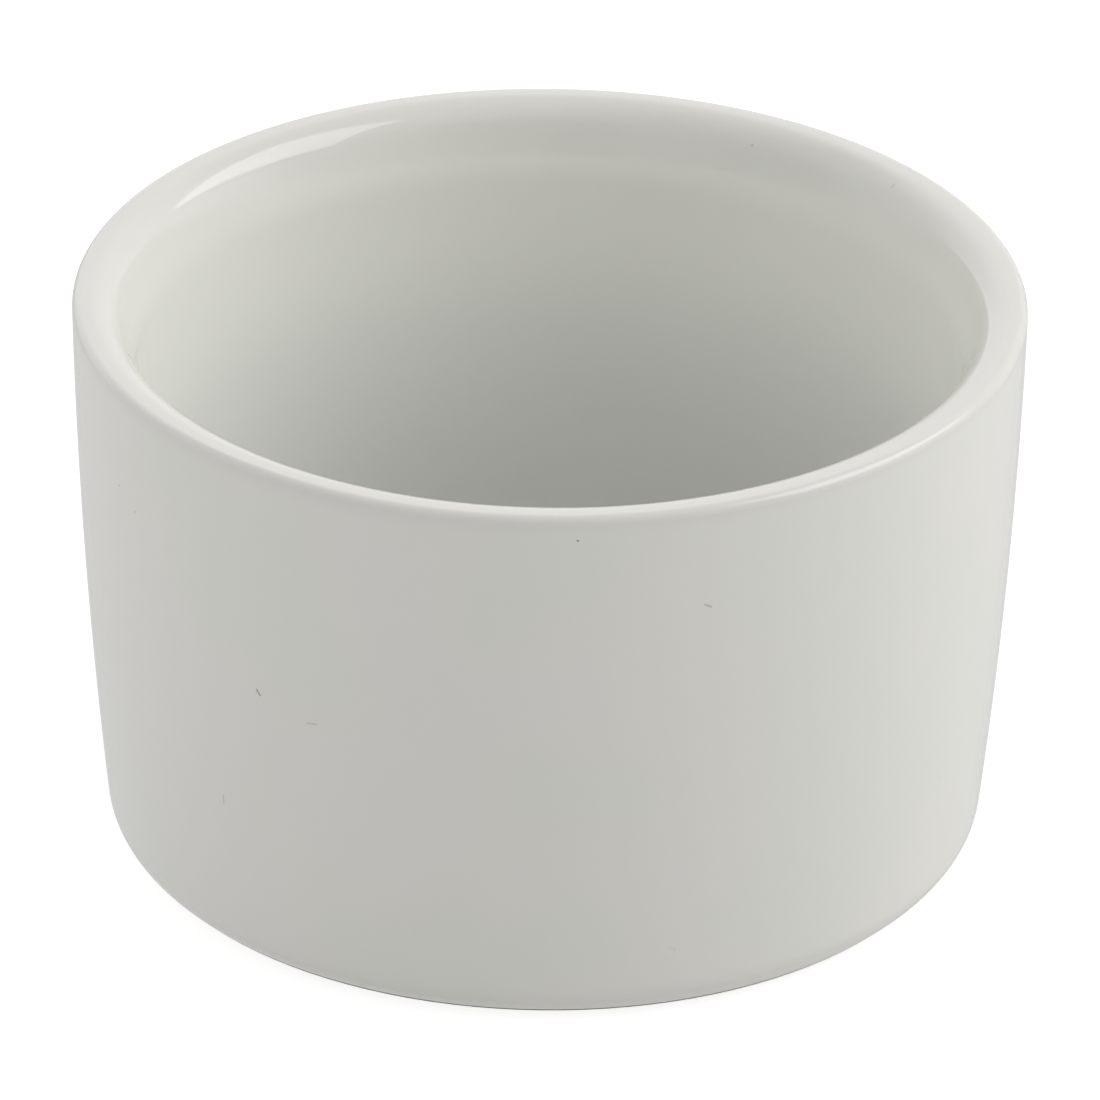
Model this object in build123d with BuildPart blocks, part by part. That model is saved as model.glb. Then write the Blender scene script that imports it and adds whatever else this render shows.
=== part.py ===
from build123d import *
from math import atan2, cos, degrees, radians, sin, tan
import os

# Straight-sided ramekin in hotel porcelain, in millimetres, with +Z up.
# The origin is the centre of the foot ring's standing face. The vessel is round
# about Z, and its sizes below are those of the finished surface, glaze included.

# Driving dimensions of the vessel
rim_diameter = 75.0
base_diameter = 69.0  # of the outside wall, run down to the standing face
height = 46.0
wall_swell = 0.53  # how far the outside wall bows past a straight taper
rim_wall = 2.96  # from the outside wall's line in to the start of the rim's shoulder
rim_outer_radius = 0.7
rim_inner_radius = 2.7
shoulder_lean = 25.0  # degrees off upright: the shoulder between the rim and the bowl's wall
shoulder_flat = 0.25  # straight part of the shoulder, between its two roundings
shoulder_radius = 13.0
wall_thickening = 0.87  # degrees that the bowl's wall leans more than the outside wall
bowl_cove_radius = 8.0
floor_thickness = 3.5
heel_radius = 3.3

# Foot ring: a narrow standing face round a shallow recess
foot_ring_width = 6.3  # from the outside wall's line in to the ring's inner edge
foot_draft = 0.8  # how far the ring's inner flank leans in as it rises
recess_depth = 1.5
foot_edge_radius = 0.6
recess_cove_radius = 1.2

# Glaze: one film outside and in, and a patch in the recess. Both stop short of
# the standing face, which is wiped bare before the firing.
glaze_thickness = 0.3
bare_foot_height = 0.5

# Sizes that follow from those
rim_radius = rim_diameter / 2
base_radius = base_diameter / 2
foot_inner_radius = base_radius - foot_ring_width
bowl_floor_height = recess_depth + floor_thickness
rim_edge_radius = rim_radius - rim_wall
bowl_draft = degrees(atan2(rim_radius - base_radius, height)) + wall_thickening
rim_tangent = rim_inner_radius * tan(radians(90 - shoulder_lean) / 2)
wall_tangent = shoulder_radius * tan(radians(shoulder_lean - bowl_draft) / 2)
shoulder_run = rim_tangent + shoulder_flat + wall_tangent
shoulder_foot_radius = rim_edge_radius - shoulder_run * sin(radians(shoulder_lean))
shoulder_foot_height = height - shoulder_run * cos(radians(shoulder_lean))
wall_drop = shoulder_foot_height - bowl_floor_height
bowl_floor_radius = shoulder_foot_radius - wall_drop * tan(radians(bowl_draft))


def finished_section():
    """Half section of the glazed vessel, as radius along X and height along Y."""
    recess_centre = (0, recess_depth)
    recess_corner = (foot_inner_radius - foot_draft, recess_depth)
    foot_edge = (foot_inner_radius, 0)
    heel = (base_radius, 0)
    rim_outer = (rim_radius, height)
    rim_inner = (rim_edge_radius, height)
    shoulder_foot = (shoulder_foot_radius, shoulder_foot_height)
    bowl_corner = (bowl_floor_radius, bowl_floor_height)
    bowl_centre = (0, bowl_floor_height)
    with BuildSketch() as half:
        with BuildLine():
            Polyline(bowl_centre, recess_centre, recess_corner, foot_edge, heel)
            SagittaArc(heel, rim_outer, -wall_swell)
            Polyline(rim_outer, rim_inner, shoulder_foot, bowl_corner, bowl_centre)
        make_face()
        roundings = (
            (recess_corner, recess_cove_radius),
            (foot_edge, foot_edge_radius),
            (heel, heel_radius),
            (rim_outer, rim_outer_radius),
            (rim_inner, rim_inner_radius),
            (shoulder_foot, shoulder_radius),
            (bowl_corner, bowl_cove_radius),
        )
        for corner, radius in roundings:
            fillet(half.vertices().sort_by_distance((*corner, 0))[0], radius)
    return half.sketch_local


def film_sections(finished):
    """The glaze films of that half section, the smaller first: recess, then outside and bowl."""
    with BuildSketch() as biscuit:
        add(finished)
        mirror(about=Plane.YZ)
        offset(amount=-glaze_thickness)
    with BuildSketch() as films:
        add(finished)
        add(biscuit.sketch_local, mode=Mode.SUBTRACT)
        Rectangle(
            base_diameter,
            bare_foot_height,
            align=(Align.CENTER, Align.MIN),
            mode=Mode.SUBTRACT,
        )
    return films.sketch_local.faces().sort_by(SortBy.AREA)


vessel_half = finished_section()
recess_film, main_film = film_sections(vessel_half)

# Fired body: bowl, floor and foot ring in one piece, pressed and fired as one
with BuildPart() as porcelain_body:
    with BuildSketch(Plane.XZ):
        add(vessel_half)
        add((main_film, recess_film), mode=Mode.SUBTRACT)
    revolve(axis=Axis.Z)
porcelain_body.part.label = "porcelain_body"

# Glaze film: up the outside from just over the foot, round the rim, down the bowl
with BuildPart() as glaze_coat:
    with BuildSketch(Plane.XZ):
        add(main_film)
    revolve(axis=Axis.Z)
glaze_coat.part.label = "glaze_coat"

# Glaze patch: the recess inside the foot ring, cut off from the rest by the bare ring
with BuildPart() as base_glaze:
    with BuildSketch(Plane.XZ):
        add(recess_film)
    revolve(axis=Axis.Z)
base_glaze.part.label = "base_glaze"

os.makedirs("parts", exist_ok=True)
for piece in (porcelain_body, glaze_coat, base_glaze):
    export_step(piece.part, f"parts/{piece.part.label}.step")
    print(piece.part.label, round(piece.part.volume, 1), "mm3")
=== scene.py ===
# %% [markdown]
# # A glazed porcelain ramekin
# The dish is one fired lump of porcelain with glass melted over it. This lesson
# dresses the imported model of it: the bare body and the little patch of glaze under
# it keep their own solids, and the glaze that everyone sees is turned again here,
# as smooth as a wheel would leave it. Everything is in metres, in the model's frame.

# %% Load the frame and note its box
import math
from functools import partial

import bpy
from mathutils import Matrix, Vector


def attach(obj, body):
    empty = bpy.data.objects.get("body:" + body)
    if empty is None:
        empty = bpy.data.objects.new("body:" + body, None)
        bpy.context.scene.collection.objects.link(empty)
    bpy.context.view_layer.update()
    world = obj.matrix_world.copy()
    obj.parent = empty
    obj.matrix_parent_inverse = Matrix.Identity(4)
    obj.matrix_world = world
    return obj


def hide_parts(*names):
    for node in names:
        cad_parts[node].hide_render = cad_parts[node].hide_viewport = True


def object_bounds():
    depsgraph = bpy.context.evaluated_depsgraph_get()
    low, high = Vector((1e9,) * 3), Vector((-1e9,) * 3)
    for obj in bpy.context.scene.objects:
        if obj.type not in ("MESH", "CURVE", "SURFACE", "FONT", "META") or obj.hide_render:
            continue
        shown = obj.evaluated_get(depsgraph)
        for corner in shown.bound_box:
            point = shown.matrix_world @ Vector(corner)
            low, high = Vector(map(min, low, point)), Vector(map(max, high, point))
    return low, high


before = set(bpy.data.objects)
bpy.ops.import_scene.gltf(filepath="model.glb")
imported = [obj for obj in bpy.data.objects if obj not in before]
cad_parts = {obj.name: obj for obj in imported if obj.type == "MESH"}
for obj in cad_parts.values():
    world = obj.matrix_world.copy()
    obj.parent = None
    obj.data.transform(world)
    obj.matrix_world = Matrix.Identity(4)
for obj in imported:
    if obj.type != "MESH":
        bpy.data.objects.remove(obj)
cad_low, cad_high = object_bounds()
MM = 0.001
print("nodes", sorted(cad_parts), "box", [round(v / MM, 2) for v in cad_high - cad_low], "mm")

# %% [markdown]
# ## Sizes
# The glaze's outer face is the vessel's finished surface, so its sizes are the
# vessel's own. The height comes from the frame, and the rest are a potter's
# numbers: radii about the axis, how far a face leans, and how round a corner is.

# %% The vessel's sizes
HEIGHT = cad_high.z
RIM_RADIUS = 37.5 * MM
BASE_RADIUS = 34.5 * MM
WALL_SWELL = 0.53 * MM
RIM_WALL = 2.96 * MM
RIM_INNER_ROUNDING = 2.7 * MM
SHOULDER_ROUNDING = 13.0 * MM
SHOULDER_FLAT = 0.25 * MM
SHOULDER_LEAN = math.radians(25)
WALL_THICKENING = math.radians(0.87)
BOWL_LEAN = math.atan2(RIM_RADIUS - BASE_RADIUS, HEIGHT) + WALL_THICKENING
BOWL_FLOOR_HEIGHT = 5.0 * MM
print("the bowl's wall leans", round(math.degrees(BOWL_LEAN), 2), "degrees")

# %% [markdown]
# ## Two sizes that follow
# The soft shoulder under the rim takes some working out. Its two roundings meet on
# a short slope, so the slope is as long as they need, and that puts the corner
# where the bowl's wall begins. The outside wall isn't straight either: it bows
# outwards a little between the rim and the base.

# %% Where the shoulder ends, and how wide the wall is
def shoulder_foot():
    """Radius and height of the corner between the shoulder and the bowl's wall."""
    rim_tangent = RIM_INNER_ROUNDING * math.tan((math.pi / 2 - SHOULDER_LEAN) / 2)
    wall_tangent = SHOULDER_ROUNDING * math.tan((SHOULDER_LEAN - BOWL_LEAN) / 2)
    run = rim_tangent + SHOULDER_FLAT + wall_tangent
    radius = RIM_RADIUS - RIM_WALL - run * math.sin(SHOULDER_LEAN)
    return radius, HEIGHT - run * math.cos(SHOULDER_LEAN)


def outside_radius(height):
    """The outside wall's radius at a height: a straight taper, bowed outwards."""
    rise = height / HEIGHT
    taper = BASE_RADIUS + (RIM_RADIUS - BASE_RADIUS) * rise
    return taper + 4 * WALL_SWELL * rise * (1 - rise)


SHOULDER_RADIUS, SHOULDER_HEIGHT = shoulder_foot()
BOWL_FLOOR_RADIUS = SHOULDER_RADIUS - (SHOULDER_HEIGHT - BOWL_FLOOR_HEIGHT) * math.tan(BOWL_LEAN)
SIZES = {
    "Height": HEIGHT,
    "Rim Radius": RIM_RADIUS,
    "Base Radius": BASE_RADIUS,
    "Wall Swell": WALL_SWELL,
    "Rim Wall": RIM_WALL,
    "Shoulder Foot Radius": SHOULDER_RADIUS,
    "Shoulder Foot Height": SHOULDER_HEIGHT,
    "Bowl Floor Radius": BOWL_FLOOR_RADIUS,
    "Bowl Floor Height": BOWL_FLOOR_HEIGHT,
    "Rim Outer Rounding": 0.7 * MM,
    "Rim Inner Rounding": RIM_INNER_ROUNDING,
    "Shoulder Rounding": SHOULDER_ROUNDING,
    "Heel Rounding": 3.3 * MM,
    "Cove Rounding": 8.0 * MM,
    "Foot Line": 0.5 * MM,
    "Film Thickness": 0.3 * MM,
    "Unevenness": 0.04 * MM,
}
for name, value in SIZES.items():
    print(f"{name:22s}{value / MM:8.2f} mm")

# %% [markdown]
# ## Camera
# A long lens from about a metre away, 28 degrees above the table, with a slight
# roll: that is what the rim's ellipse and the lean of the walls give. The camera's
# three directions are worked out as vectors, so nothing depends on a target object.

# %% Place the camera
PHOTO_SIDE = 1100
FOCAL_PIXELS = 13251
SENSOR_MM = 36
CAMERA_DISTANCE = 28 * RIM_RADIUS
CAMERA_ELEVATION = math.radians(28.03)
CAMERA_ROLL = math.radians(0.746)
TARGET = Vector((0.0064 * RIM_RADIUS, 0, 0.6235 * RIM_RADIUS))


def make_camera():
    """A camera that looks at the target from the front, rolled about its own axis."""
    back = Vector((0, -math.cos(CAMERA_ELEVATION), math.sin(CAMERA_ELEVATION)))
    right = Vector((1, 0, 0))
    up = back.cross(right)
    turned_right = math.cos(CAMERA_ROLL) * right + math.sin(CAMERA_ROLL) * up
    turned_up = -math.sin(CAMERA_ROLL) * right + math.cos(CAMERA_ROLL) * up
    data = bpy.data.cameras.new("camera")
    data.sensor_width = SENSOR_MM
    data.lens = FOCAL_PIXELS * SENSOR_MM / PHOTO_SIDE
    camera = bpy.data.objects.new("camera", data)
    turn = Matrix((turned_right, turned_up, back)).transposed()
    camera.matrix_world = Matrix.Translation(TARGET + back * CAMERA_DISTANCE) @ turn.to_4x4()
    bpy.context.scene.collection.objects.link(camera)
    bpy.context.scene.camera = camera
    print("lens", round(data.lens, 1), "mm at", round(CAMERA_DISTANCE, 3), "m")


make_camera()

# %% [markdown]
# ## Wiring node trees
# Both the shape of the glaze and its looks are node trees here. A tree built in a
# script is mostly wiring, so these helpers do it in one line each: a named socket,
# a node with its inputs set or linked by name, and a single step of arithmetic.

# %% Helpers for building node trees
FLOAT, COLOR, VECTOR = "NodeSocketFloat", "NodeSocketColor", "NodeSocketVector"
GEOMETRY, WHOLE, MATERIAL = "NodeSocketGeometry", "NodeSocketInt", "NodeSocketMaterial"


def add_socket(tree, name, kind, default=None, output=False):
    """Adds a named socket to a node group's interface."""
    side = "OUTPUT" if output else "INPUT"
    socket = tree.interface.new_socket(name=name, in_out=side, socket_type=kind)
    if default is not None:
        socket.default_value = default
    return socket


def feed(tree, socket, value):
    """Links a socket from another node's output, or sets its value."""
    if isinstance(value, bpy.types.NodeSocket):
        tree.links.new(value, socket)
    else:
        socket.default_value = value


def add_node(tree, kind, settings=None, **links):
    """Adds a node, sets its properties, and links or sets each named input."""
    node = tree.nodes.new(kind)
    for name, value in (settings or {}).items():
        setattr(node, name, value)
    for name, value in links.items():
        feed(tree, node.inputs[name.replace("_", " ")], value)
    return node


def math_node(tree, operation, *values):
    """One arithmetic step: returns its output socket."""
    node = add_node(tree, "ShaderNodeMath", {"operation": operation})
    for socket, value in zip(node.inputs, values):
        feed(tree, socket, value)
    return node.outputs[0]


def point(tree, radius, height):
    """A point of the outline: its radius along X, its height along Y."""
    return add_node(tree, "ShaderNodeCombineXYZ", X=radius, Y=height).outputs[0]


print("wiring helpers are ready")

# %% [markdown]
# ## A turned film of glaze
# A dish is round, so its surface is a drawn outline swept once about the axis. The
# outline could be typed as a list of points, but then nobody could change a
# rounding. Here a Geometry Nodes tree draws it from named sizes. It starts with
# seven corners, from the middle of the bowl's floor, over the rim and down to the
# middle of the underside. An index switch gives each point of a plain mesh line
# its place, and the fillet node rounds each corner by its own radius.

# %% The outline's corners, rounded
FILLET_STEPS = 18


def pick(tree, kind, index, items):
    """An index switch over the items: item number i for point number i."""
    node = add_node(tree, "GeometryNodeIndexSwitch", {"data_type": kind})
    while len(node.index_switch_items) < len(items):
        node.index_switch_items.new()
    feed(tree, node.inputs["Index"], index)
    for number, item in enumerate(items):
        feed(tree, node.inputs[number + 1], item)
    return node.outputs[0]


def rounded_outline(tree, size):
    """Corners joined by straight runs, each corner filleted."""
    rim_inner = math_node(tree, "SUBTRACT", size["Rim Radius"], size["Rim Wall"])
    corners = [
        (0.0, size["Bowl Floor Height"], 0.0),
        (size["Bowl Floor Radius"], size["Bowl Floor Height"], size["Cove Rounding"]),
        (size["Shoulder Foot Radius"], size["Shoulder Foot Height"], size["Shoulder Rounding"]),
        (rim_inner, size["Height"], size["Rim Inner Rounding"]),
        (size["Rim Radius"], size["Height"], size["Rim Outer Rounding"]),
        (size["Base Radius"], 0.0, size["Heel Rounding"]),
        (0.0, 0.0, 0.0),
    ]
    places = [point(tree, radius, height) for radius, height, rounding in corners]
    roundings = [rounding for radius, height, rounding in corners]
    index = add_node(tree, "GeometryNodeInputIndex").outputs[0]
    line = add_node(tree, "GeometryNodeMeshLine", Count=len(corners))
    drawn = add_node(
        tree,
        "GeometryNodeSetPosition",
        Geometry=line.outputs[0],
        Position=pick(tree, "VECTOR", index, places),
    )
    outline = add_node(tree, "GeometryNodeMeshToCurve", Mesh=drawn.outputs[0])
    rounded = add_node(
        tree,
        "GeometryNodeFilletCurve",
        {"mode": "POLY"},
        Curve=outline.outputs[0],
        Count=FILLET_STEPS,
        Radius=pick(tree, "FLOAT", index, roundings),
    )
    return rounded.outputs[0]


print("seven corners, with", FILLET_STEPS, "points round each rounding")

# %% [markdown]
# ## Points along the straight runs
# A straight run has a point at each end and none between, so it can't bow. Each run
# is cut in as many pieces as its length asks for, and the short steps of a rounding
# stay whole.

# %% Space points along each run
POINT_SPACING = 1.2 * MM


def spaced_outline(tree, curve):
    """Cuts the outline's long runs into steps of about one spacing."""
    place = add_node(tree, "GeometryNodeInputPosition").outputs[0]
    index = add_node(tree, "GeometryNodeInputIndex").outputs[0]
    following = add_node(
        tree,
        "GeometryNodeFieldAtIndex",
        {"data_type": "FLOAT_VECTOR", "domain": "POINT"},
        Value=place,
        Index=math_node(tree, "ADD", index, 1),
    )
    run = add_node(tree, "ShaderNodeVectorMath", {"operation": "DISTANCE"})
    feed(tree, run.inputs[0], place)
    feed(tree, run.inputs[1], following.outputs[0])
    steps = math_node(tree, "DIVIDE", run.outputs["Value"], POINT_SPACING)
    cuts = math_node(tree, "FLOOR", steps)
    return add_node(tree, "GeometryNodeSubdivideCurve", Curve=curve, Cuts=cuts).outputs[0]


print("a point every", round(POINT_SPACING / MM, 2), "mm on the long runs")

# %% [markdown]
# ## The bow, and the line where the glaze stops
# A potter wipes the foot bare before the firing, or the dish would stick to the
# kiln's shelf. So the outline's points below the foot line all move to the one
# place where the heel's rounding crosses that line, and the sweep later welds them
# into the film's edge. The same step bows the outside wall: most at half height,
# and not at all at the rim and the base.

# %% Bow the wall and end the film at the foot line
def wiped_outline(tree, curve, size):
    """The outline with its outside bowed, and drawn up to the foot line."""
    calc = partial(math_node, tree)
    place = add_node(tree, "GeometryNodeInputPosition").outputs[0]
    radius, height, _ = add_node(tree, "ShaderNodeSeparateXYZ", Vector=place).outputs

    rise = calc("DIVIDE", height, size["Height"])
    taper = calc("SUBTRACT", size["Rim Radius"], size["Base Radius"])
    chord = calc("MULTIPLY_ADD", taper, rise, size["Base Radius"])
    mid_wall = calc("SUBTRACT", chord, calc("MULTIPLY", size["Rim Wall"], 0.5))
    outside = calc("GREATER_THAN", radius, mid_wall)
    arch = calc("MULTIPLY", calc("MULTIPLY", rise, calc("SUBTRACT", 1.0, rise)), 4.0)
    bow = calc("MULTIPLY", calc("MULTIPLY", arch, size["Wall Swell"]), outside)
    bowed = calc("ADD", radius, bow)

    lean = calc("ARCTAN2", taper, size["Height"])
    half_angle = calc("MULTIPLY_ADD", lean, 0.5, math.radians(45))
    tangent = calc("DIVIDE", size["Heel Rounding"], calc("TANGENT", half_angle))
    drop = calc("SUBTRACT", size["Heel Rounding"], size["Foot Line"])
    squares = calc("POWER", size["Heel Rounding"], 2.0), calc("POWER", drop, 2.0)
    reach = calc("SQRT", calc("SUBTRACT", *squares))
    end_radius = calc("ADD", calc("SUBTRACT", size["Base Radius"], tangent), reach)

    wiped = calc("LESS_THAN", height, size["Foot Line"])
    kept_part = calc("MULTIPLY", bowed, calc("SUBTRACT", 1.0, wiped))
    final_radius = calc("ADD", kept_part, calc("MULTIPLY", end_radius, wiped))
    final_height = calc("MAXIMUM", height, size["Foot Line"])
    shaped = add_node(
        tree,
        "GeometryNodeSetPosition",
        Geometry=curve,
        Position=point(tree, final_radius, final_height),
    )
    return shaped.outputs[0]


print("the glaze stops", round(SIZES["Foot Line"] / MM, 2), "mm above the table")

# %% [markdown]
# ## The sweep
# Curve to Mesh could sweep the outline round a small circle. A cylinder's side is
# used instead, because its rings can be matched to the outline's points one by one:
# each ring looks up its own point, whose radius scales the ring and whose height
# lifts it. Rings that fall on one place are welded, which closes the bowl's floor
# and leaves nothing under the foot.

# %% Sweep the outline into a skin
ROUND_STEPS = 256
WELD_GAP = 0.001 * MM


def swept_skin(tree, curve, size):
    """The outline turned once about Z, welded, with its faces pointing outwards."""
    calc = partial(math_node, tree)
    place = add_node(tree, "GeometryNodeInputPosition").outputs[0]
    counted = add_node(
        tree, "GeometryNodeAttributeDomainSize", {"component": "CURVE"}, Geometry=curve
    )
    runs = calc("SUBTRACT", counted.outputs["Point Count"], 1)
    tube = add_node(
        tree,
        "GeometryNodeMeshCylinder",
        {"fill_type": "NONE"},
        Vertices=size["Round Steps"],
        Side_Segments=runs,
        Radius=1.0,
        Depth=1.0,
    )
    east, north, level = add_node(tree, "ShaderNodeSeparateXYZ", Vector=place).outputs
    ring = calc("ROUND", calc("MULTIPLY", calc("ADD", level, 0.5), runs))
    sampled = add_node(
        tree,
        "GeometryNodeSampleIndex",
        {"data_type": "FLOAT_VECTOR", "domain": "POINT"},
        Geometry=curve,
        Value=place,
        Index=ring,
    )
    profile = add_node(tree, "ShaderNodeSeparateXYZ", Vector=sampled.outputs[0]).outputs
    turned_place = add_node(
        tree,
        "ShaderNodeCombineXYZ",
        X=calc("MULTIPLY", profile[0], east),
        Y=calc("MULTIPLY", profile[0], north),
        Z=profile[1],
    )
    turned = add_node(
        tree,
        "GeometryNodeSetPosition",
        Geometry=tube.outputs["Mesh"],
        Position=turned_place.outputs[0],
    )
    welded = add_node(
        tree, "GeometryNodeMergeByDistance", Geometry=turned.outputs[0], Distance=WELD_GAP
    )
    return add_node(tree, "GeometryNodeFlipFaces", Mesh=welded.outputs[0]).outputs[0]


print("the sweep has", ROUND_STEPS, "steps round the axis")

# %% [markdown]
# ## The warp of the kiln
# Fired ware is never quite round: it softens and sags a few hundredths of a
# millimetre. A slow noise pushes the skin along its normals by that much. The push
# dies out towards the foot, so that the film still meets the body's bare ring.

# %% Warp the skin a little
WARP_SCALE = 28.0
WARP_FULL_HEIGHT = 12 * MM


def warped_skin(tree, skin, size):
    """The skin pushed in and out by a slow noise, at most one unevenness each way."""
    calc = partial(math_node, tree)
    place = add_node(tree, "GeometryNodeInputPosition").outputs[0]
    drift = add_node(
        tree,
        "ShaderNodeTexNoise",
        {"noise_dimensions": "4D"},
        Vector=place,
        W=size["Seed"],
        Scale=WARP_SCALE,
        Detail=1.0,
    )
    offset = calc("MULTIPLY", calc("SUBTRACT", drift.outputs[0], 0.5), 2.0)
    height = add_node(tree, "ShaderNodeSeparateXYZ", Vector=place).outputs[2]
    fade = calc("MINIMUM", calc("DIVIDE", height, WARP_FULL_HEIGHT), 1.0)
    push = calc("MULTIPLY", calc("MULTIPLY", offset, fade), size["Unevenness"])
    normal = add_node(tree, "GeometryNodeInputNormal").outputs[0]
    warp = add_node(
        tree, "ShaderNodeVectorMath", {"operation": "SCALE"}, Vector=normal, Scale=push
    )
    warped = add_node(
        tree, "GeometryNodeSetPosition", Geometry=skin, Offset=warp.outputs[0]
    )
    return warped.outputs[0]


print("the warp is", round(SIZES["Unevenness"] / MM, 3), "mm at most")

# %% [markdown]
# ## From a skin to a film
# Glaze has a thickness, and it shows at the wiped edge over the foot. The skin is
# extruded inwards, the extruded copy is turned over, and the two join and weld
# into one closed shell. A Solidify modifier would do this too, but in the tree the
# thickness is a named size like the rest. Realize Instances and Set Material end
# the tree, because only a plain mesh with its material leaves the scene.

# %% Close the film
def closed_film(tree, skin, size):
    """A closed shell: the skin and a copy of it pushed inwards."""
    inward = add_node(
        tree,
        "GeometryNodeExtrudeMesh",
        {"mode": "FACES"},
        Mesh=skin,
        Offset_Scale=math_node(tree, "MULTIPLY", size["Film Thickness"], -1.0),
        Individual=False,
    )
    turned_over = add_node(tree, "GeometryNodeFlipFaces", Mesh=inward.outputs["Mesh"])
    both = tree.nodes.new("GeometryNodeJoinGeometry")
    tree.links.new(turned_over.outputs[0], both.inputs[0])
    tree.links.new(skin, both.inputs[0])
    closed = add_node(
        tree, "GeometryNodeMergeByDistance", Geometry=both.outputs[0], Distance=WELD_GAP
    )
    return add_node(tree, "GeometryNodeSetShadeSmooth", Geometry=closed.outputs[0]).outputs[0]


print("the film is", round(SIZES["Film Thickness"] / MM, 2), "mm thick")

# %% Put the tree together
WARP_SEED = 3.0


def turned_film_tree():
    """The whole tree, from named sizes to a closed film with its material."""
    tree = bpy.data.node_groups.new("Turned glaze film", "GeometryNodeTree")
    add_socket(tree, "Geometry", GEOMETRY, output=True)
    for name, value in SIZES.items():
        add_socket(tree, name, FLOAT, value)
    add_socket(tree, "Round Steps", WHOLE, ROUND_STEPS)
    add_socket(tree, "Seed", FLOAT, WARP_SEED)
    add_socket(tree, "Material", MATERIAL)
    size = tree.nodes.new("NodeGroupInput").outputs
    outline = spaced_outline(tree, rounded_outline(tree, size))
    skin = swept_skin(tree, wiped_outline(tree, outline, size), size)
    film = closed_film(tree, warped_skin(tree, skin, size), size)
    real = add_node(tree, "GeometryNodeRealizeInstances", Geometry=film)
    finished = add_node(
        tree, "GeometryNodeSetMaterial", Geometry=real.outputs[0], Material=size["Material"]
    )
    result = tree.nodes.new("NodeGroupOutput")
    tree.links.new(finished.outputs[0], result.inputs[0])
    return tree


FILM_TREE = turned_film_tree()
print("tree:", FILM_TREE.name, "with", len(FILM_TREE.nodes), "nodes")

# %% [markdown]
# ## What a glaze looks like
# White porcelain is hardly ever white. The glass over it is a little green where it
# has run thick, in the corner of the bowl, and lets the warm body through where it
# has thinned, on the crest of the rim. Its colour also carries painted light and
# shade: the bowl's inside is painted lighter, the bowl is painted darker towards its
# bottom, and the crest is painted a darker brown that stands for the dark reflection
# along its outer rounding. Its surface lies in slow waves, with a finer ripple left
# by the spray, and the kiln leaves a few specks. Each of those is a node group here,
# fed with the object's own coordinates, so that both glazes can use it.

# %% Helpers for shader groups
def shader_group(name, inputs, outputs):
    """Starts a shader node group; returns the tree and its input sockets."""
    tree = bpy.data.node_groups.new(name, "ShaderNodeTree")
    for socket_name, kind, default in inputs:
        add_socket(tree, socket_name, kind, default)
    for socket_name, kind in outputs:
        add_socket(tree, socket_name, kind, output=True)
    return tree, tree.nodes.new("NodeGroupInput").outputs


def close_group(tree, **results):
    """Joins the results to the group's outputs."""
    add_node(tree, "NodeGroupOutput", **results)
    print("group:", tree.name, "with", len(tree.nodes), "nodes")
    return tree


def ramp(tree, value, low, high):
    """A smooth step: 0 at low, 1 at high. Low may be above high."""
    node = add_node(tree, "ShaderNodeMapRange", {"interpolation_type": "SMOOTHSTEP"})
    for socket, fed in zip(node.inputs, (value, low, high, 0.0, 1.0)):
        feed(tree, socket, fed)
    return node.outputs[0]


def mix_colors(tree, amount, first, second):
    """Blends two colours by an amount from 0 to 1."""
    node = add_node(tree, "ShaderNodeMix", {"data_type": "RGBA"})
    for number, fed in ((0, amount), (6, first), (7, second)):
        feed(tree, node.inputs[number], fed)
    return node.outputs[2]


print("group helpers are ready")


# %% Helpers for values and noise
def mix_values(tree, amount, first, second):
    """Blends two numbers by an amount from 0 to 1."""
    node = add_node(tree, "ShaderNodeMix", {"data_type": "FLOAT"})
    for number, fed in ((0, amount), (2, first), (3, second)):
        feed(tree, node.inputs[number], fed)
    return node.outputs[0]


def noise(tree, place, scale, detail, seed=None):
    """Perlin noise from about 0 to 1."""
    node = add_node(tree, "ShaderNodeTexNoise", Vector=place, Scale=scale, Detail=detail)
    if seed is not None:
        node.noise_dimensions = "4D"
        feed(tree, node.inputs["W"], seed)
    return node.outputs[0]


def level_distance(tree, x, y):
    """How far a place is from the upright axis."""
    squares = math_node(tree, "MULTIPLY_ADD", x, x, math_node(tree, "MULTIPLY", y, y))
    return math_node(tree, "SQRT", squares)


print("value helpers are ready")

# %% [markdown]
# ## How the glaze's colour drifts, with painted light and shade
# Five colours share the dish: the usual one, a warm drift in slow patches, a
# lighter one inside the bowl, a greener and darker one low in the bowl, and a
# browner one on the rim's crest. The lighter inside is painted light. The low colour
# is partly glaze that has run thick and partly painted shade, darker towards the
# bottom. The crest's colour is partly thinned glass over the warm body and partly
# painted shade that stands for the dark reflection along the outer rounding.
# Painting them by hand would need an unwrapped mesh. Here the height and the
# distance from the axis choose between them, and a slow noise makes the patches and
# the ragged lower edge of the crest's band.

# %% Group: how the glaze's colour drifts, with painted light and shade
PATCH_SCALE = 55.0
PATCH_EDGE = (0.35, 0.7)
# The low colour is partly glaze that has run thick and partly painted shade that darkens the bowl
# towards the bottom.
POOL_AND_SHADE_FULL = 0.4
POOL_AND_SHADE_SIDE = (32.5 * MM, 31.5 * MM)
# Within this radius the colour is painted lighter: painted light on the bowl's inside, not a
# different glaze.
PAINTED_LIGHT_SIDE = (33.6 * MM, 32.6 * MM)
# The crest's band is partly thinned glaze and partly painted shade, standing for the dark reflection
# along the outer rounding.
THIN_AND_SHADE_RAGGED = 0.8 * MM
THIN_AND_SHADE_BAND = 1.6 * MM
GREY = (0.6, 0.6, 0.6, 1)


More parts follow.
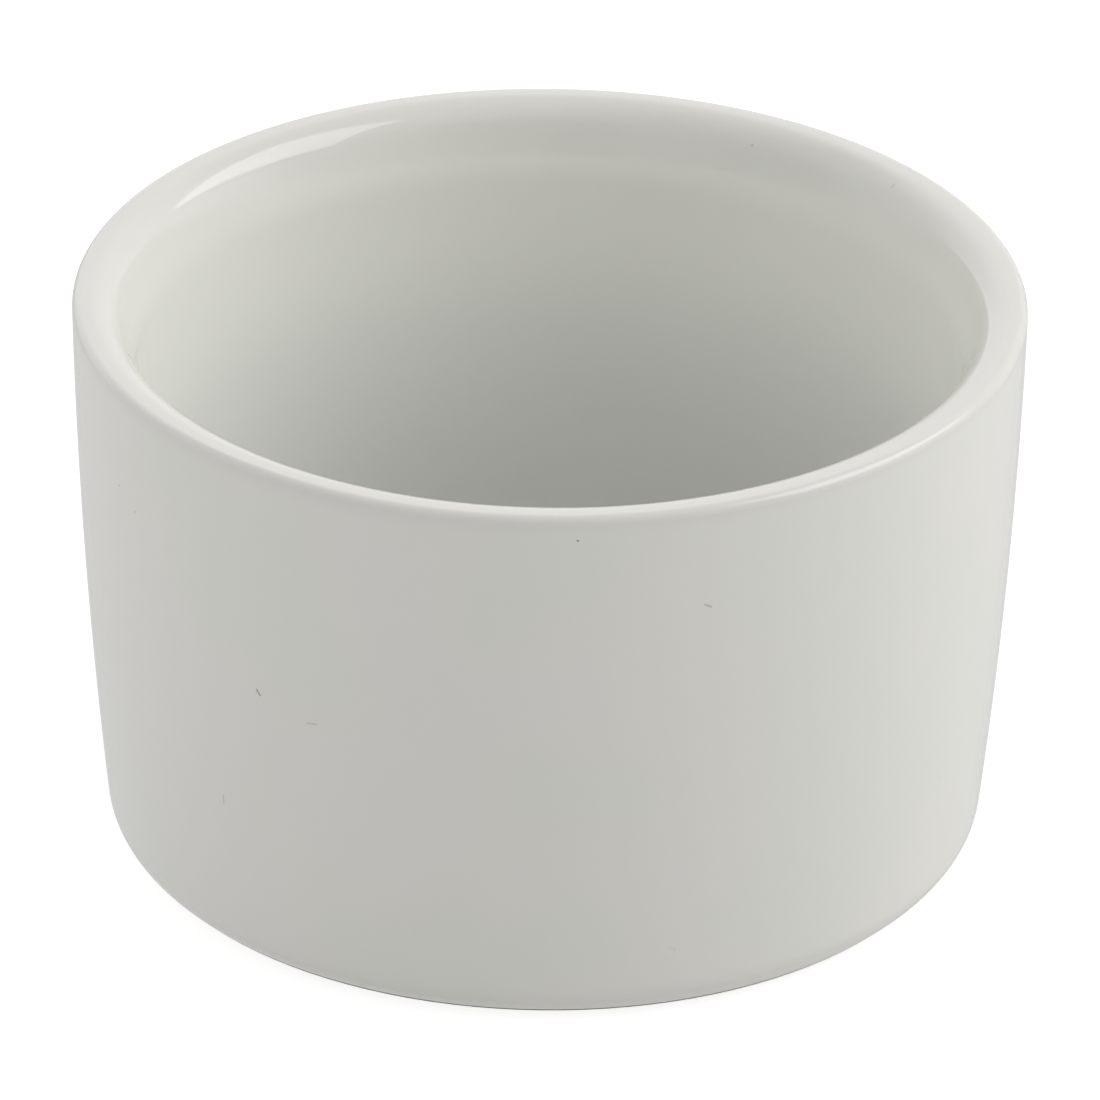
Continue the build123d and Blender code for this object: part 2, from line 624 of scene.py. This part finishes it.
def glaze_drift_and_painted_light_group():
    """Thick, thinned and mottled glaze, with painted light inside the bowl and painted shade low in
    it and on the crest, as one colour.
    """
    colors = ("Usual", "Inside", "Pooled And Shaded", "Thinned And Shaded", "Warm Drift")
    tree, given = shader_group(
        "Glaze drift with painted light and shade",
        [
            ("Place", VECTOR, None),
            *((name, COLOR, GREY) for name in colors),
            ("Pool And Shade Top", FLOAT, 42 * MM),
            ("Thin From", FLOAT, 45 * MM),
            ("Mottle", FLOAT, 0.5),
        ],
        [("Color", COLOR)],
    )
    calc = partial(math_node, tree)
    x, y, height = add_node(tree, "ShaderNodeSeparateXYZ", Vector=given["Place"]).outputs
    across = level_distance(tree, x, y)

    lumps = noise(tree, given["Place"], PATCH_SCALE, detail=1.0, seed=1.0)
    drift = calc("MULTIPLY", ramp(tree, lumps, *PATCH_EDGE), given["Mottle"])
    usual = mix_colors(tree, drift, given["Usual"], given["Warm Drift"])
    # Painted light: a lighter copy of the colour on the bowl's inside.
    painted_lighter = mix_colors(tree, ramp(tree, across, *PAINTED_LIGHT_SIDE), usual, given["Inside"])

    # Partly glaze that has run thick, partly painted shade: darker towards the bottom of the bowl.
    full = calc("MULTIPLY", given["Pool And Shade Top"], POOL_AND_SHADE_FULL)
    low = ramp(tree, height, given["Pool And Shade Top"], full)
    pool_and_shade = calc("MULTIPLY", low, ramp(tree, across, *POOL_AND_SHADE_SIDE))
    pooled_and_shaded = mix_colors(tree, pool_and_shade, painted_lighter, given["Pooled And Shaded"])

    # Partly thinned glaze on the crest, partly painted shade for the dark reflection along the outer
    # rounding.
    ragged = calc("MULTIPLY_ADD", lumps, THIN_AND_SHADE_RAGGED, height)
    top = calc("ADD", given["Thin From"], THIN_AND_SHADE_BAND)
    thin_and_shade = ramp(tree, ragged, given["Thin From"], top)
    return close_group(tree, Color=mix_colors(tree, thin_and_shade, pooled_and_shaded, given["Thinned And Shaded"]))


DRIFT_AND_PAINTED_LIGHT_GROUP = glaze_drift_and_painted_light_group()

# %% [markdown]
# ## The glaze's waves and ripple
# Glass that has flowed is smooth but never flat. Two noises make its relief: slow
# waves that bend the reflections, and a very fine orange peel that only softens
# their edges. Both are real heights in metres, so they can be compared with the
# film's thickness.

# %% Group: the glaze's waves and ripple
def glaze_ripple_group():
    """Height of the glass's own relief: slow waves and a fine orange peel."""
    tree, given = shader_group(
        "Glaze ripple",
        [
            ("Place", VECTOR, None),
            ("Wave", FLOAT, 0.02 * MM),
            ("Wave Scale", FLOAT, 90.0),
            ("Peel", FLOAT, 0.001 * MM),
            ("Peel Scale", FLOAT, 900.0),
        ],
        [("Height", FLOAT)],
    )
    slow = noise(tree, given["Place"], given["Wave Scale"], detail=1.0, seed=2.0)
    fine = noise(tree, given["Place"], given["Peel Scale"], detail=1.5, seed=5.0)
    wave = math_node(tree, "MULTIPLY", slow, given["Wave"])
    peel = math_node(tree, "MULTIPLY", fine, given["Peel"])
    return close_group(tree, Height=math_node(tree, "ADD", wave, peel))


RIPPLE_GROUP = glaze_ripple_group()

# %% [markdown]
# ## Kiln specks
# A few grains of iron in the clay burn through as tiny dark specks. A Voronoi
# pattern cuts space into cells, each cell's random colour decides whether it holds
# a speck and how big, and the distance from the cell's centre draws it round.

# %% Group: specks scattered at random
LEAST_SPECK = 0.4
SPECK_CORE = 0.5


def specks_group():
    """Sparse round specks: a few cells of a Voronoi pattern hold one each."""
    tree, given = shader_group(
        "Kiln specks",
        [
            ("Place", VECTOR, None),
            ("Scale", FLOAT, 110.0),
            ("Chance", FLOAT, 0.05),
            ("Size", FLOAT, 0.028),
        ],
        [("Mask", FLOAT)],
    )
    calc = partial(math_node, tree)
    cells = add_node(
        tree,
        "ShaderNodeTexVoronoi",
        Vector=given["Place"],
        Scale=given["Scale"],
        Randomness=1.0,
    )
    dice = add_node(tree, "ShaderNodeSeparateColor", Color=cells.outputs["Color"]).outputs
    chosen = calc("LESS_THAN", dice[0], given["Chance"])
    edge = calc("MULTIPLY", given["Size"], calc("ADD", dice[1], LEAST_SPECK))
    dot = ramp(tree, cells.outputs["Distance"], edge, calc("MULTIPLY", edge, SPECK_CORE))
    return close_group(tree, Mask=calc("MULTIPLY", dot, chosen))


SPECKS_GROUP = specks_group()

# %% [markdown]
# ## One mark where it is wanted
# Random specks can't stand where this dish has its own. A mark is a short stroke:
# the group finds the nearest place on the line between its two ends and fades with
# the distance from there. With both ends at one place the stroke is a dot.

# %% Group: one mark where it is wanted
NO_LENGTH = 1e-12
MARK_CORE = 0.4


def mark_group():
    """A soft-edged stroke from one place to another; a dot when both are the same."""
    tree, given = shader_group(
        "Placed mark",
        [
            ("Place", VECTOR, None),
            ("From", VECTOR, None),
            ("To", VECTOR, None),
            ("Width", FLOAT, 0.1 * MM),
        ],
        [("Mask", FLOAT)],
    )
    calc = partial(math_node, tree)

    def vector(operation, *values, output=0, **named):
        node = add_node(tree, "ShaderNodeVectorMath", {"operation": operation}, **named)
        for socket, value in zip(node.inputs, values):
            feed(tree, socket, value)
        return node.outputs[output]

    stroke = vector("SUBTRACT", given["To"], given["From"])
    reach = vector("SUBTRACT", given["Place"], given["From"])
    along = vector("DOT_PRODUCT", reach, stroke, output="Value")
    whole = vector("DOT_PRODUCT", stroke, stroke, output="Value")
    share = calc("DIVIDE", along, calc("MAXIMUM", whole, NO_LENGTH))
    held = calc("MAXIMUM", calc("MINIMUM", share, 1.0), 0.0)
    gap = vector("DISTANCE", reach, vector("SCALE", stroke, Scale=held), output="Value")
    core = calc("MULTIPLY", given["Width"], MARK_CORE)
    return close_group(tree, Mask=ramp(tree, gap, given["Width"], core))


MARK_GROUP = mark_group()

# %% [markdown]
# ## The marks on this dish
# Each mark is a stroke between two places, each an angle about the axis and a
# height, with a half width and how dark it is: iron specks, and a hair or two that
# burnt out in the kiln. Each pulls the glass in as well as staining it. Two of the
# marks are inside the rim, so they give a radius too. One shallow dent low on the
# front has no stain.

# %% The marks and the dent
def on_wall(degrees, height_mm, radius_mm=None):
    """A place on the outside wall, or at a given radius."""
    height = height_mm * MM
    radius = outside_radius(height) if radius_mm is None else radius_mm * MM
    angle = math.radians(degrees)
    return (radius * math.cos(angle), radius * math.sin(angle), height)


def speck(place, half_width_mm, darkness):
    """A round mark."""
    return place, place, half_width_mm * MM, darkness


def hair(start, end, half_width_mm, darkness):
    """A short stroke."""
    return start, end, half_width_mm * MM, darkness


MARKS = [
    speck(on_wall(-86.4, 44.1), 0.13, 0.75),
    hair(on_wall(-71.0, 37.6), on_wall(-70.2, 37.3), 0.09, 0.40),
    speck(on_wall(-153.2, 37.5), 0.11, 0.60),
    speck(on_wall(-149.2, 36.4), 0.12, 0.45),
    speck(on_wall(61.7, 44.6, 33.9), 0.18, 0.25),
    hair(on_wall(38.0, 45.5, 34.7), on_wall(38.0, 45.3, 34.5), 0.16, 0.15),
    hair(on_wall(-127.3, 26.4), on_wall(-126.8, 26.0), 0.10, 0.65),
    hair(on_wall(-120.0, 24.9), on_wall(-118.7, 25.0), 0.09, 0.25),
    hair(on_wall(-133.9, 15.2), on_wall(-133.9, 14.4), 0.09, 0.25),
]
DENT_PLACE = on_wall(-73.3, 6.2)
DENT_WIDTH = 0.36 * MM
DENT_DEPTH = 0.045 * MM
print(len(MARKS), "marks and one dent", round(DENT_DEPTH / MM, 3), "mm deep")

# %% [markdown]
# ## The glazes
# One function makes both glazes from a table of looks. It places the groups, stains
# the colour, adds the relief through a Bump node and lets a faint haze vary the
# gloss. The walls' glaze is nearly a mirror. In the recess it is thinner, duller
# and more specked, since it gets a lighter spray and faces the kiln's shelf. An
# index of refraction of 1.5 is plain glass, and it sits on the shader's own socket.

# %% What the glazes share
GLASS_INDEX = 1.5
STAIN_COLOR = (0.11, 0.085, 0.06, 1)
SPECK_DARKNESS = 0.6
HAZE_SCALE = 140.0
PLAIN_BUMP = {"Strength": 1.0, "Distance": 1.0}
print("glass bends light by", GLASS_INDEX)


# %% Starting a material and placing a group in it
def place_group(tree, group, **links):
    """Puts a group in a material and returns its outputs."""
    return add_node(tree, "ShaderNodeGroup", {"node_tree": group}, **links).outputs


def start_material(name):
    """A material with a Principled shader; returns its tree, shader and coordinates."""
    material = bpy.data.materials.new(name)
    material.use_nodes = True
    tree = material.node_tree
    shader = tree.nodes["Principled BSDF"]
    place = tree.nodes.new("ShaderNodeTexCoord").outputs["Object"]
    return material, tree, shader, place


print("material helpers are ready")


# %% One glaze from its look
def stain_mask(tree, place, speck_chance, marks):
    """Where the glaze is stained: random specks, and the placed marks over them."""
    scattered = place_group(tree, SPECKS_GROUP, Place=place, Chance=speck_chance)["Mask"]
    stain = math_node(tree, "MULTIPLY", scattered, SPECK_DARKNESS)
    for start, end, width, darkness in marks:
        stroke = {"From": start, "To": end, "Width": width}
        mask = place_group(tree, MARK_GROUP, Place=place, **stroke)["Mask"]
        mark = math_node(tree, "MULTIPLY", mask, darkness)
        stain = math_node(tree, "MAXIMUM", stain, mark)
    return stain


def glaze_material(name, look, marks=()):
    """A glaze from its look; the one with placed marks has the dent too."""
    material, tree, shader, place = start_material(name)
    calc = partial(math_node, tree)
    # The colour carries painted light on the bowl's inside and painted shade low in the bowl and on
    # the rim's crest.
    color = place_group(tree, DRIFT_AND_PAINTED_LIGHT_GROUP, Place=place, **look["drift"])["Color"]
    stain = stain_mask(tree, place, look["speck_chance"], marks)
    feed(tree, shader.inputs["Base Color"], mix_colors(tree, stain, color, STAIN_COLOR))

    relief = place_group(tree, RIPPLE_GROUP, Place=place, **look["ripple"])["Height"]
    height = calc("SUBTRACT", relief, calc("MULTIPLY", stain, look["sink"]))
    if marks:
        spot = {"From": DENT_PLACE, "To": DENT_PLACE, "Width": DENT_WIDTH}
        dent = place_group(tree, MARK_GROUP, Place=place, **spot)["Mask"]
        height = calc("SUBTRACT", height, calc("MULTIPLY", dent, DENT_DEPTH))
    bump = add_node(tree, "ShaderNodeBump", Height=height, **PLAIN_BUMP)
    feed(tree, shader.inputs["Normal"], bump.outputs[0])
    haze = noise(tree, place, HAZE_SCALE, detail=3.0)
    rough = calc("MULTIPLY_ADD", haze, look["haze"], look["gloss"])
    feed(tree, shader.inputs["Roughness"], rough)
    shader.inputs["IOR"].default_value = GLASS_INDEX
    print("glaze:", name, "with", len(tree.nodes), "nodes")
    return material


print("a glaze is ready to be made from a look")

# %% [markdown]
# ## The looks of the two glazes
# The colours are linear, as Blender's sockets want them. Heights are in
# millimetres of real relief: the waves are a fifteenth of the film's thickness, and
# the peel is far finer.

# %% The two glazes
GLAZE = glaze_material(
    "clear_glaze",
    {
        "drift": {
            "Usual": (0.714, 0.716, 0.672, 1),
            # Painted light: a lighter copy of the usual colour for the bowl's inside.
            "Inside": (0.774, 0.775, 0.731, 1),
            # Partly glaze that has run thick, partly painted shade darkening the bowl towards the
            # bottom.
            "Pooled And Shaded": (0.652, 0.659, 0.628, 1),
            # Partly thinned glaze, partly painted shade for the dark reflection along the rim's
            # outer rounding.
            "Thinned And Shaded": (0.684, 0.670, 0.636, 1),
            "Warm_Drift": (0.742, 0.712, 0.680, 1),
            "Mottle": 0.6,
            "Thin_From": 44.6 * MM,
        },
        "ripple": {"Wave": 0.02 * MM, "Peel": 0.0006 * MM},
        "speck_chance": 0.012,
        "sink": 0.02 * MM,
        "gloss": 0.012,
        "haze": 0.014,
    },
    MARKS,
)
RECESS = glaze_material(
    "recess_glaze",
    {
        "drift": {
            "Usual": (0.660, 0.672, 0.628, 1),
            "Inside": (0.660, 0.672, 0.628, 1),
            "Pooled And Shaded": (0.575, 0.615, 0.550, 1),
            "Thinned And Shaded": (0.665, 0.645, 0.600, 1),
            "Warm_Drift": (0.650, 0.630, 0.590, 1),
            "Mottle": 0.8,
            "Thin_From": 44.6 * MM,
        },
        "ripple": {"Wave": 0.03 * MM, "Peel": 0.0015 * MM},
        "speck_chance": 0.05,
        "sink": 0.03 * MM,
        "gloss": 0.10,
        "haze": 0.10,
    },
)

# %% [markdown]
# ## The bare body
# Where the glaze was wiped off, the fired clay shows: warm white, matt and finely
# grained. It is the part that stands on trays and oven shelves, so it carries soft
# grey scuffs. Grain and scuffs are two noises of very different sizes.

# %% The bare body
GRAIN_SCALE, GRAIN_HEIGHT = 2600.0, 0.01 * MM
SCUFF_SCALE, SCUFF_EDGE, SCUFF_STRENGTH = 95.0, (0.52, 0.72), 0.55
CLAY_DARK, CLAY_LIGHT = (0.69, 0.64, 0.55, 1), (0.73, 0.68, 0.59, 1)
SCUFF_COLOR = (0.42, 0.39, 0.35, 1)
CLAY_ROUGHNESS, GRAIN_ROUGHNESS = 0.6, 0.2


def biscuit_material():
    """Matt fired clay: fine grain, with grey oven scuffs."""
    material, tree, shader, place = start_material("biscuit_porcelain")
    calc = partial(math_node, tree)
    grain = noise(tree, place, GRAIN_SCALE, detail=4.0)
    smears = noise(tree, place, SCUFF_SCALE, detail=4.0, seed=9.0)
    scuffs = calc("MULTIPLY", ramp(tree, smears, *SCUFF_EDGE), SCUFF_STRENGTH)
    clay = mix_colors(tree, grain, CLAY_DARK, CLAY_LIGHT)
    feed(tree, shader.inputs["Base Color"], mix_colors(tree, scuffs, clay, SCUFF_COLOR))
    rough = calc("MULTIPLY_ADD", grain, GRAIN_ROUGHNESS, CLAY_ROUGHNESS)
    feed(tree, shader.inputs["Roughness"], rough)
    height = calc("MULTIPLY", grain, GRAIN_HEIGHT)
    bump = add_node(tree, "ShaderNodeBump", Height=height, **PLAIN_BUMP)
    feed(tree, shader.inputs["Normal"], bump.outputs[0])
    return material


BISCUIT = biscuit_material()
print("materials", GLAZE.name, RECESS.name, BISCUIT.name)

# %% [markdown]
# ## Make the film
# The tree runs as a modifier on an empty mesh. Its inputs are set by the socket's
# identifier before the object is first evaluated. The evaluated result becomes a
# plain mesh, the object with the modifier goes, and the plain one takes the coarse
# coat's place. The body and the recess patch keep their solids and get their
# materials.

# %% Make the film and dress the solids
def make_film():
    """Runs the tree once and keeps the result as a plain mesh."""
    mesh = bpy.data.meshes.new("film_start")
    start = bpy.data.objects.new("film_start", mesh)
    bpy.context.scene.collection.objects.link(start)
    modifier = start.modifiers.new("turn", "NODES")
    modifier.node_group = FILM_TREE
    inputs = {**SIZES, "Material": GLAZE}
    for item in FILM_TREE.interface.items_tree:
        if item.item_type == "SOCKET" and item.in_out == "INPUT" and item.name in inputs:
            modifier[item.identifier] = inputs[item.name]
    bpy.context.view_layer.update()
    evaluated = start.evaluated_get(bpy.context.evaluated_depsgraph_get())
    made = bpy.data.meshes.new_from_object(evaluated)
    bpy.data.objects.remove(start)
    piece = bpy.data.objects.new("glaze_film", made)
    bpy.context.scene.collection.objects.link(piece)
    print("film:", len(made.vertices), "points,", len(made.polygons), "faces")
    return piece


film = make_film()
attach(film, "root")
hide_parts("glaze_coat")
for name, material in (("porcelain_body", BISCUIT), ("base_glaze", RECESS)):
    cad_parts[name].data.materials.clear()
    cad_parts[name].data.materials.append(material)
    print(name, "wears", material.name)

# %% [markdown]
# ## The paper under the dish
# The dish stands on white paper. A plain white floor would come out grey under
# this soft light, so the paper that the camera sees glows by itself, with a matt
# part left to take the dish's shadow. Reflections see an even, dimmer glow. What
# lights the dish is different again: paper that is partly matt, so that it is
# darker under the dish, and partly lit from below, so that the heel doesn't sink.
# From underneath the floor is clear, and the foot can be looked at.

# %% How bright the paper is
FLOOR_SIDE = 6.0
FLOOR_GAP = 0.01 * MM
PAPER_COLOR = (0.46, 0.46, 0.46, 1)
PAPER_LIT_BELOW = 0.32
SHADOW_COLOR = (0.30, 0.30, 0.30, 1)
PAPER_GLOW = 0.82
MIRRORED_GLOW = 0.65
WHITE = (1, 1, 1, 1)
print("the paper's glow adds up to", round(PAPER_GLOW + SHADOW_COLOR[0], 2), "where it is fully lit")


# %% Mixing shaders
def glow_node(tree, strength):
    """White light of a given strength."""
    return add_node(tree, "ShaderNodeEmission", Color=WHITE, Strength=strength).outputs[0]


def lit_paper(tree, color, glow):
    """Matt paper of a colour, with a glow of its own added."""
    matt = add_node(tree, "ShaderNodeBsdfDiffuse", Color=color).outputs[0]
    node = tree.nodes.new("ShaderNodeAddShader")
    feed(tree, node.inputs[0], matt)
    feed(tree, node.inputs[1], glow_node(tree, glow))
    return node.outputs[0]


def mix_shaders(tree, amount, first, second):
    """Blends two shaders by an amount from 0 to 1."""
    node = tree.nodes.new("ShaderNodeMixShader")
    for socket, value in zip(node.inputs, (amount, first, second)):
        feed(tree, socket, value)
    return node.outputs[0]


print("shader mixing helpers are ready")


# %% The paper and the floor
def paper_material():
    """Paper that looks white, keeps the shadow, and is clear from underneath."""
    material = bpy.data.materials.new("white_paper")
    material.use_nodes = True
    tree = material.node_tree
    tree.nodes.clear()
    ray = tree.nodes.new("ShaderNodeLightPath").outputs
    mirrored = glow_node(tree, MIRRORED_GLOW)
    through = math_node(tree, "MAXIMUM", ray["Is Glossy Ray"], ray["Is Transmission Ray"])
    plain = lit_paper(tree, PAPER_COLOR, PAPER_LIT_BELOW)
    surface = mix_shaders(tree, through, plain, mirrored)
    seen = lit_paper(tree, SHADOW_COLOR, PAPER_GLOW)
    surface = mix_shaders(tree, ray["Is Camera Ray"], surface, seen)
    behind = tree.nodes.new("ShaderNodeNewGeometry").outputs["Backfacing"]
    clear = tree.nodes.new("ShaderNodeBsdfTransparent").outputs[0]
    surface = mix_shaders(tree, behind, surface, clear)
    add_node(tree, "ShaderNodeOutputMaterial", Surface=surface)
    return material


def make_floor():
    """A wide sheet of paper just under the foot ring."""
    bpy.ops.mesh.primitive_plane_add(size=FLOOR_SIDE, location=(0, 0, -FLOOR_GAP))
    floor = bpy.context.object
    floor.name = "floor"
    floor.data.materials.append(paper_material())
    print("floor:", FLOOR_SIDE, "m of paper,", round(FLOOR_GAP / MM, 3), "mm under the foot")


make_floor()

# %% [markdown]
# ## The room round it
# White ware on white paper shows its shape only by what it mirrors. So the world is
# a painted room: pale walls, brightest at the back left, where they draw the crisp
# pale edge inside the rim on the right. Towards the camera the room is dark, which
# keeps a glare off the near wall and makes the darker patch on the back rim. The
# ceiling is dim, and the camera itself sees plain white. Each edge below is a pair
# of numbers: where a level starts to change and where it has changed. They are
# shares of the way to the right, to the back or straight up, so a minus sign points
# to the left or to the camera.

# %% How bright the walls are, and where they change
WALL_LEVEL = 0.95
LEFT_WALL_LEVEL = 1.35
FAR_LEFT_LEVEL = 0.85
FRONT_LEVEL = 0.20
LEFT_FRONT_LEVEL = 0.36
CAMERA_SIDE_LEVEL = 0.0
CEILING_LEVEL = 0.2
BELOW_LEVEL = 0.6
SEEN_LEVEL = 1.0
LEFT_WALL_EDGE = (-0.05, -0.40)
FAR_LEFT_EDGE = (-0.75, -0.95)
FRONT_EDGE = (0.0, -0.4)
LEFT_FRONT_EDGE = (-0.31, -0.34)
DARK_LEFT_EDGE = (-0.34, -0.31)
DARK_RIGHT_EDGE = (0.60, 0.35)
CEILING_EDGE = (0.62, 0.82)
STRAIGHT_UP = 0.001
print("walls from", CAMERA_SIDE_LEVEL, "at the camera to", LEFT_WALL_LEVEL, "at the back left")


# %% World: the walls that the dish mirrors
def wall_levels(tree, x, y):
    """How bright the walls are all round, from the direction's level part."""
    calc = partial(math_node, tree)
    level_way = calc("MAXIMUM", level_distance(tree, x, y), STRAIGHT_UP)
    rightward = calc("DIVIDE", x, level_way)
    backward = calc("DIVIDE", y, level_way)
    back = mix_values(tree, ramp(tree, rightward, *LEFT_WALL_EDGE), WALL_LEVEL, LEFT_WALL_LEVEL)
    back = mix_values(tree, ramp(tree, rightward, *FAR_LEFT_EDGE), back, FAR_LEFT_LEVEL)
    front = mix_values(
        tree, ramp(tree, rightward, *LEFT_FRONT_EDGE), FRONT_LEVEL, LEFT_FRONT_LEVEL
    )
    walls = mix_values(tree, ramp(tree, backward, *FRONT_EDGE), back, front)
    dark = calc(
        "MULTIPLY",
        ramp(tree, rightward, *DARK_LEFT_EDGE),
        ramp(tree, rightward, *DARK_RIGHT_EDGE),
    )
    dark_front = calc("MULTIPLY", dark, calc("LESS_THAN", y, 0.0))
    return mix_values(tree, dark_front, walls, CAMERA_SIDE_LEVEL)


def make_world():
    """The room as the world's background."""
    world = bpy.data.worlds.new("studio_walls")
    bpy.context.scene.world = world
    world.use_nodes = True
    tree = world.node_tree
    tree.nodes.clear()
    direction = tree.nodes.new("ShaderNodeTexCoord").outputs["Generated"]
    x, y, z = add_node(tree, "ShaderNodeSeparateXYZ", Vector=direction).outputs
    walls = wall_levels(tree, x, y)
    room = mix_values(tree, ramp(tree, z, *CEILING_EDGE), walls, CEILING_LEVEL)
    room = mix_values(tree, math_node(tree, "LESS_THAN", z, 0.0), room, BELOW_LEVEL)
    seen = tree.nodes.new("ShaderNodeLightPath").outputs["Is Camera Ray"]
    strength = mix_values(tree, seen, room, SEEN_LEVEL)
    back = add_node(tree, "ShaderNodeBackground", Color=WHITE, Strength=strength)
    add_node(tree, "ShaderNodeOutputWorld", Surface=back.outputs[0])
    print("world:", world.name, "with", len(tree.nodes), "nodes")


make_world()

# %% [markdown]
# ## The lamps
# An upright softbox stands high on the right of the dish. Its mirror image is the
# bright streak under the far rim and the thin highlight along the near edge, so its
# place and size come from where those two end. A second panel carries it on towards
# the back as light alone: if the glaze mirrored that too, the streak would run too
# far round. The other lamps lift the sides, and they aren't mirrored either, or each
# would draw a streak of its own. Azimuth is counted from the right-hand side towards
# the back, so the camera is at -90 degrees. A lamp's power is its level times its
# area, so a softbox can grow and stay as bright.

# %% Lamps
# name, place (azimuth, elevation, distance), facing, size, level, mirrored
LAMPS = [
    ("key_softbox", (4.3, 51.0, 1.345), (-15, 0), (0.935, 1.27), 2.65, True),
    ("key_back", (34.8, 40.1, 1.62), (-15, 0), (0.395, 1.27), 2.65, False),
    ("right_fill", (-15, 32, 1.2), (-15, 32), (0.6, 0.6), 1.0, False),
    ("left_wall", (190, 38, 1.2), (190, 38), (1.9, 1.1), 0.56, False),
    ("front_right_fill", (-50, 42, 1.2), (-50, 42), (0.5, 0.8), 1.8, False),
    ("front_left_fill", (228, 48, 1.2), (228, 48), (0.6, 0.6), 1.35, False),
]


def heading(azimuth, elevation):
    """The direction at an azimuth and an elevation in degrees."""
    turn, rise = math.radians(azimuth), math.radians(elevation)
    level = math.cos(rise)
    return Vector((level * math.cos(turn), level * math.sin(turn), math.sin(rise)))


def make_lamp(name, place, facing, size, level, mirrored):
    """A softbox at a place, turned to a heading, as bright all over as its level."""
    azimuth, elevation, distance = place
    width, height = size
    data = bpy.data.lights.new(name, "AREA")
    data.shape = "RECTANGLE"
    data.size = width
    data.size_y = height
    data.energy = level * math.pi * width * height
    lamp = bpy.data.objects.new(name, data)
    lamp.location = heading(azimuth, elevation) * distance
    lamp.rotation_euler = heading(*facing).to_track_quat("Z", "Y").to_euler()
    lamp.visible_camera = False
    lamp.visible_glossy = mirrored
    bpy.context.scene.collection.objects.link(lamp)
    print(f"{name:18s}{data.energy:6.2f} W")


for settings in LAMPS:
    make_lamp(*settings)

# %% [markdown]
# ## How far light bounces
# Two glazed faces that meet at a shallow angle hand a reflection back and forth
# many times. When the renderer gives up too early, a black sliver shows where the
# shoulder meets the bowl's wall, so the glossy bounces are raised. The Standard
# view shows a colour as it is written.

# %% View and bounces
GLOSSY_BOUNCES = 12
bpy.context.scene.view_settings.view_transform = "Standard"
bpy.context.scene.cycles.glossy_bounces = GLOSSY_BOUNCES
print("glossy bounces", GLOSSY_BOUNCES)
